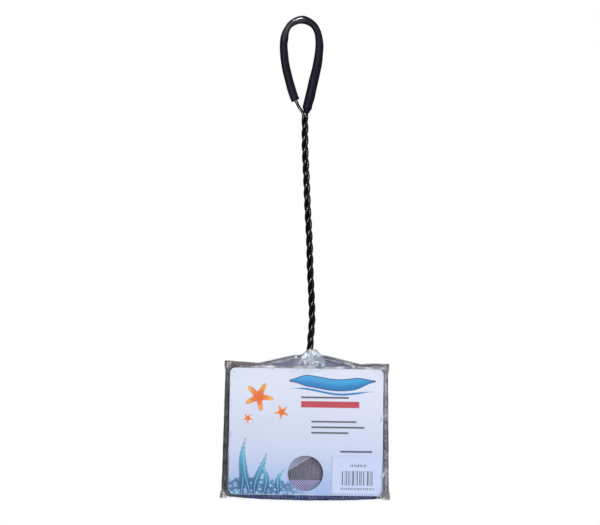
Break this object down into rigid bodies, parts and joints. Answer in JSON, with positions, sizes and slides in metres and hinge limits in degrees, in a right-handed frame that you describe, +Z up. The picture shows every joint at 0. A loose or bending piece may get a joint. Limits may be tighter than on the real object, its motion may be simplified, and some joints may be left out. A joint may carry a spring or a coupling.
{
  "type": "aquarium fish net in a carded shrink pack",
  "caption": "Aquarium fish net: sleeved hanging loop, twisted black wire handle and square hemmed wire head, its bag folded flat behind a windowed card under clear film.",
  "frame": {"origin": "the hang point: the inside of the loop's top, where a hook touches the sleeve, in the plane of the handle", "axes": "+Z up along the hanging net, +X to the right and -Y towards the viewer, the way the card faces"},
  "size_m": [0.1328, 0.0094, 0.3656],
  "materials": {
    "coated_wire": "gloss",
    "sleeve": "satin",
    "hem_cloth": "matte",
    "net_cloth": "matte",
    "card": "satin",
    "label": "matte",
    "clear_film": "gloss"
  },
  "bodies": {
    "net": {"loop_wire": "coated_wire", "grip_sleeve": "sleeve", "strand_one": "coated_wire", "strand_two": "coated_wire", "strand_three": "coated_wire", "frame_wire": "coated_wire", "hem_top_left": "hem_cloth", "hem_top_right": "hem_cloth", "hem_left": "hem_cloth", "hem_right": "hem_cloth", "hem_bottom": "hem_cloth", "hem_lip": "hem_cloth", "bag_panel": "net_cloth", "bag_fold_left": "net_cloth", "bag_fold_right": "net_cloth"},
    "wrap": {"film_front": "clear_film", "film_back": "clear_film", "film_side_left": "clear_film", "film_side_right": "clear_film", "film_bottom": "clear_film", "film_gather_front": "clear_film", "film_gather_back": "clear_film"},
    "card": {"insert_card": "card", "label_patch": "label"}
  },
  "joints": [
    {"name": "wrap_pull", "type": "slide", "parent": "net", "child": "wrap", "axis": [0, 0, -1], "range_m": [0, 0.118]},
    {"name": "card_lift", "type": "slide", "parent": "wrap", "child": "card", "axis": [0, 0, 1], "range_m": [0, 0.115]}
  ]
}
